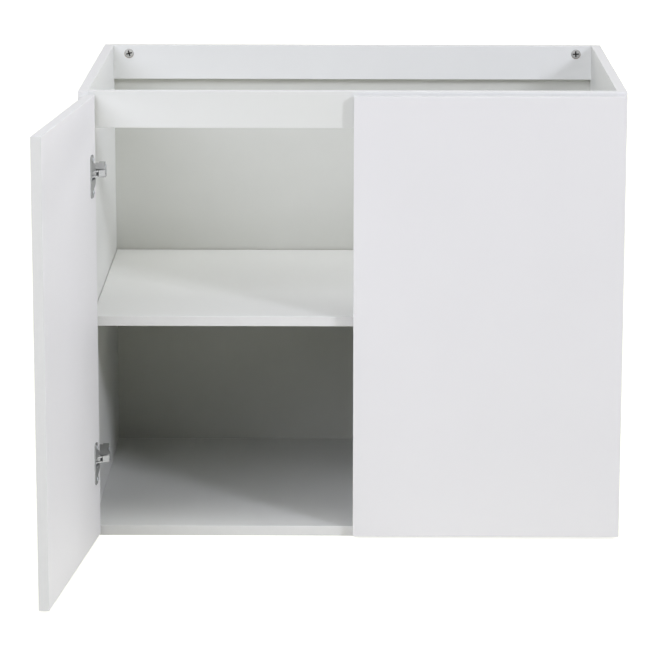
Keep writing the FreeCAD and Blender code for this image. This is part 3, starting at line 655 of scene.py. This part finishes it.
def drive(node, ways, metal, material_slot, **sizes):
    """Fasteners in place of a node's solids. ways gives the way out of each head, from the middle
    of its solid, and sizes are the tree's inputs by name."""
    seats, looks = [], []
    for points in solids_of(node):
        middle = sum(points, Vector()) / len(points)
        way_out = Vector(ways(middle))
        reach = [point.dot(way_out) for point in points]
        flat = [point - way_out * point.dot(way_out) for point in points]
        centre = Vector([(min(p[i] for p in flat) + max(p[i] for p in flat)) / 2
                         for i in range(3)])
        centre -= way_out * centre.dot(way_out)
        seats.append(centre + way_out * (max(reach) - sizes["Head_Height"]))
        looks.append(way_out)
    mesh = bpy.data.meshes.new("seats")
    mesh.from_pydata(seats, [], [])
    mesh.attributes.new("head_way", "FLOAT_VECTOR", "POINT").data.foreach_set(
        "vector", [value for look in looks for value in look])
    piece = bpy.data.objects.new("driven_" + node, mesh)
    bpy.context.scene.collection.objects.link(piece)
    making = piece.modifiers.new("fasteners", "NODES")
    making.node_group = turned
    for name, value in sizes.items():
        making[sockets[name.replace("_", " ")].identifier] = value
    making[sockets["Metal"].identifier] = metal
    ready = piece.evaluated_get(bpy.context.evaluated_depsgraph_get())
    solid = bpy.data.meshes.new_from_object(ready)
    piece.modifiers.clear()
    piece.data = solid
    solid.materials.pop(index=0)  # the empty slot that Set Material leaves in front
    solid.polygons.foreach_set("use_smooth", [True] * len(solid.polygons))
    solid.set_sharp_from_angle(angle=crease)
    stands_for(piece, node)


def from_side(middle):
    """The way from the nearer side panel into the cabinet."""
    return (-math.copysign(1, middle.x), 0, 0)


cross = {"Recess_Width": 0.0009, "Recess_Depth": 0.0009, "Spin": math.pi}
left_inward = Matrix.Rotation(left_open, 3, "Z") @ Vector(backwards)
for node, inward in (("cup_screws_left", left_inward), ("cup_screws_right", backwards)):
    drive(node, lambda middle: inward, zinc, "zinc_plated_steel", Head_Radius=0.0035,
          Head_Height=0.0016, Crown=0.5, Shank_Radius=0.00175, Shank_Length=0.011,
          Recess_Length=0.0042, **cross)
drive("plate_screws", from_side, zinc, "zinc_plated_steel", Head_Radius=0.0045,
      Head_Height=0.0018, Crown=0.45, Shank_Radius=0.0029, Shank_Length=0.012,
      Recess_Length=0.0054, **cross)
for node in ("arm_fixing_screws", "arm_adjusting_screws"):
    drive(node, from_side, zinc, "zinc_plated_steel", Head_Radius=0.0036, Head_Height=0.0018,
          Crown=0.3, Shank_Radius=0.002, Shank_Length=0.009, Recess_Length=0.0043, **cross)

# Cams, their bolts and the dowels: each cam is die-cast zinc, dropped flush into its pocket and
# turned with a cross driver to pull on a bolt from the side panel. The dowels are fluted beech.

# Die-cast zinc: poured under pressure and left as cast. It gives the eye a dull grey metal with
# a fine grain, 0.4 mm wide, drawn at 0.8 mm, and painted shade, near black, in the recess.
cast_zinc, tree, place = new_material("die_cast_zinc")
cast = add(tree, "ShaderNodeTexNoise", {"Vector": place, "Scale": per_mm(0.8), "Detail": 3.0})
tone = add(tree, "ShaderNodeValToRGB", {"Fac": cast.outputs["Fac"]})
tone.color_ramp.elements[0].color = linear("#9E9E9C")
tone.color_ramp.elements[1].color = linear("#C4C4C1")
# Painted shade: the marked recess faces of the cams are mixed towards near black.
painted_recess_shade = add(tree, "ShaderNodeAttribute", attribute_name="painted_recess_shade")
tone = add(tree, "ShaderNodeMix",
           {0: painted_recess_shade.outputs["Fac"], 6: tone.outputs["Color"], 7: linear("#33312F")},
           data_type="RGBA")
relief = add(tree, "ShaderNodeBump",
             {"Height": cast.outputs["Fac"], "Strength": 0.3, "Distance": 0.0001})
shader = add(tree, "ShaderNodeBsdfPrincipled",
             {"Base Color": tone.outputs[2], "Metallic": 1.0, "Roughness": 0.5,
              "Normal": relief.outputs["Normal"]})
add(tree, "ShaderNodeOutputMaterial", {"Surface": shader.outputs["BSDF"]})

rails_above = 0.1


def out_of_pocket(middle):
    """The way that a cam looks: down in the bottom panel, and inwards in the rails."""
    if middle.z < rails_above:
        return downwards
    return (0, -math.copysign(1, middle.y), 0)


drive("cam_fittings", out_of_pocket, cast_zinc, "zinc_alloy", Head_Radius=0.0072,
      Head_Height=0.012, Crown=0.1, Shank_Radius=0.001, Shank_Length=0.0, Recess_Length=0.0098,
      Recess_Width=0.0024, Recess_Depth=0.004, Spin=0.6)
recoat("cam_bolts", zinc)

# Beech: turned hardwood, its grain along the dowel. It gives the eye pinkish tan with short
# dark flecks about 2 mm long.
beech, tree, place = new_material("fluted_beech")
along = add(tree, "ShaderNodeMapping", {"Vector": place, "Scale": (0.2, 1.0, 1.0)})
grain = add(tree, "ShaderNodeTexNoise",
            {"Vector": along.outputs["Vector"], "Scale": per_mm(0.8), "Detail": 4.0})
tone = add(tree, "ShaderNodeValToRGB", {"Fac": grain.outputs["Fac"]})
tone.color_ramp.elements[0].color = linear("#A8794F")
tone.color_ramp.elements[1].color = linear("#D9B68B")
relief = add(tree, "ShaderNodeBump",
             {"Height": grain.outputs["Fac"], "Strength": 0.3, "Distance": 0.0002})
shader = add(tree, "ShaderNodeBsdfPrincipled",
             {"Base Color": tone.outputs["Color"], "Roughness": 0.7,
              "Normal": relief.outputs["Normal"]})
add(tree, "ShaderNodeOutputMaterial", {"Surface": shader.outputs["BSDF"]})
recoat("dowels", beech)

# Nails: flat-headed bright steel wire, cut, headed and driven flush into the back panel along
# its four edges, with no plating.

# Bare steel wire: drawn and tumbled. It gives the eye a mid grey metal with dull stains.
bare_steel, tree, place = new_material("bare_steel_wire")
stain = add(tree, "ShaderNodeTexNoise", {"Vector": place, "Scale": per_mm(1.2), "Detail": 3.0})
tone = add(tree, "ShaderNodeValToRGB", {"Fac": stain.outputs["Fac"]})
tone.color_ramp.elements[0].color = linear("#6E6C68")
tone.color_ramp.elements[1].color = linear("#979693")
shine = add(tree, "ShaderNodeMapRange",
            {"Value": stain.outputs["Fac"], "To Min": 0.42, "To Max": 0.6})
shader = add(tree, "ShaderNodeBsdfPrincipled",
             {"Base Color": tone.outputs["Color"], "Metallic": 1.0,
              "Roughness": shine.outputs["Result"]})
add(tree, "ShaderNodeOutputMaterial", {"Surface": shader.outputs["BSDF"]})
drive("back_nails", lambda middle: backwards, bare_steel, "zinc_plated_steel",
      Head_Radius=nail_head_radius, Head_Height=nail_head_height, Crown=0.25,
      Shank_Radius=0.0007, Shank_Length=0.0142, Recess_Length=0.001, Recess_Width=0.001,
      Recess_Depth=0.0, Spin=0.0)

# Studio: a plain pale floor of matt paper, a small key lamp from the right front, and broad soft
# boxes around and above, in a dark room. To the eye of the camera the floor and the room are
# white, apart from the object's own shadow, so the floor glows more where it is far away.


def seen_rays(tree):
    """1 on rays that show a thing to the eye, straight, in a shine or through glass, and 0 on
    rays that light it."""
    path = add(tree, "ShaderNodeLightPath")
    seen = add(tree, "ShaderNodeMath",
               {0: path.outputs["Is Camera Ray"], 1: path.outputs["Is Glossy Ray"]},
               operation="MAXIMUM")
    seen = add(tree, "ShaderNodeMath",
               {0: seen.outputs["Value"], 1: path.outputs["Is Transmission Ray"]},
               operation="MAXIMUM")
    return seen.outputs["Value"]


near, far = 2.0, 6.0
near_glow, far_glow = 0.82, 1.0
white = (1, 1, 1, 1)
floor_material, tree, place = new_material("studio_floor")
grain = add(tree, "ShaderNodeTexNoise", {"Vector": place, "Scale": per_mm(200), "Detail": 2.0})
tone = add(tree, "ShaderNodeValToRGB", {"Fac": grain.outputs["Fac"]})
tone.color_ramp.elements[0].color = linear("#BEBEA8")
tone.color_ramp.elements[1].color = linear("#C0C0AA")
paper = add(tree, "ShaderNodeBsdfDiffuse", {"Color": tone.outputs["Color"]})
away = add(tree, "ShaderNodeVectorMath", {0: place}, operation="LENGTH")
lift = add(tree, "ShaderNodeMapRange",
           {"Value": away.outputs["Value"], "From Min": near, "From Max": far,
            "To Min": near_glow, "To Max": far_glow})
lift = add(tree, "ShaderNodeMath", {0: seen_rays(tree), 1: lift.outputs["Result"]},
           operation="MULTIPLY")
glow = add(tree, "ShaderNodeEmission", {"Color": white, "Strength": lift.outputs["Value"]})
both = add(tree, "ShaderNodeAddShader", {0: paper.outputs["BSDF"], 1: glow.outputs["Emission"]})
add(tree, "ShaderNodeOutputMaterial", {"Surface": both.outputs["Shader"]})
reach = 30.0
floor_level = -0.0005
mesh = bpy.data.meshes.new("studio_floor")
mesh.from_pydata([(-reach, -reach, floor_level), (reach, -reach, floor_level),
                  (reach, reach, floor_level), (-reach, reach, floor_level)], [], [(0, 1, 2, 3)])
mesh.materials.append(floor_material)
studio_floor = bpy.data.objects.new("studio_floor", mesh)
bpy.context.scene.collection.objects.link(studio_floor)
studio_floor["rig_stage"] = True

room = bpy.data.worlds.new("studio_room")
bpy.context.scene.world = room
room.use_nodes = True
tree = room.node_tree
tree.nodes.clear()
sky = add(tree, "ShaderNodeBackground", {"Color": white, "Strength": seen_rays(tree)})
add(tree, "ShaderNodeOutputWorld", {"Surface": sky.outputs["Background"]})

lamp_distance = 10.0
lamp_aim = Vector((0, -0.27, 0.4))


def soft_lamp(name, azimuth, elevation, spread, level, colour, shines=True):
    """A round soft box ten metres off. It looks spread degrees wide and lights a surface that
    faces it to the given level, where pi would show a white surface at full white. A lamp that
    doesn't shine leaves no highlight."""
    turn, lift = math.radians(azimuth), math.radians(elevation)
    away = Vector((math.sin(turn) * math.cos(lift), -math.cos(turn) * math.cos(lift),
                   math.sin(lift)))
    lamp = bpy.data.lights.new(name, "AREA")
    lamp.shape = "DISK"
    lamp.size = 2 * lamp_distance * math.tan(math.radians(spread) / 2)
    lamp.energy = level * math.pi * lamp_distance ** 2
    lamp.color = colour
    holder = bpy.data.objects.new(name, lamp)
    holder.location = lamp_aim + away * lamp_distance
    holder.rotation_euler = away.to_track_quat("Z", "Y").to_euler()
    holder.visible_glossy = shines
    bpy.context.scene.collection.objects.link(holder)


cool = (0.965, 0.972, 1.078)
plain = (1.0, 0.998, 0.975)
soft_lamp("key_lamp", 43, 26, 11, 0.96, cool)
soft_lamp("left_front_lamp", -30, 32, 40, 1.72, cool)
soft_lamp("right_low_lamp", 85, 10, 40, 1.08, cool)
soft_lamp("right_high_lamp", 85, 60, 40, 0.58, plain)
soft_lamp("overhead_lamp", 0, 80, 40, 0.88, plain)
soft_lamp("rear_right_lamp", 150, 4, 24, 1.3, plain, shines=False)
soft_lamp("rear_left_lamp", -125, 4, 30, 1.5, plain, shines=False)

# Camera: at the photograph's place, in front of the cabinet and above its top, with a long
# lens. Its place, lens and turns, in degrees, come from a fit to the photographed corners.
camera_place = (-0.00419, -4.9658, 1.33664)
pan, tilt, roll = 0.3437, -12.272, 0.0718
lens = bpy.data.cameras.new("camera")
lens.sensor_width = 36.0
lens.lens = 177.472
camera = bpy.data.objects.new("camera", lens)
camera.matrix_world = (Matrix.Translation(camera_place)
                       @ Matrix.Rotation(math.radians(pan), 4, "Z")
                       @ Matrix.Rotation(math.radians(90 + tilt), 4, "X")
                       @ Matrix.Rotation(math.radians(roll), 4, "Z"))
bpy.context.scene.collection.objects.link(camera)
bpy.context.scene.camera = camera
bpy.context.scene.view_settings.view_transform = "Standard"

low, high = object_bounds()
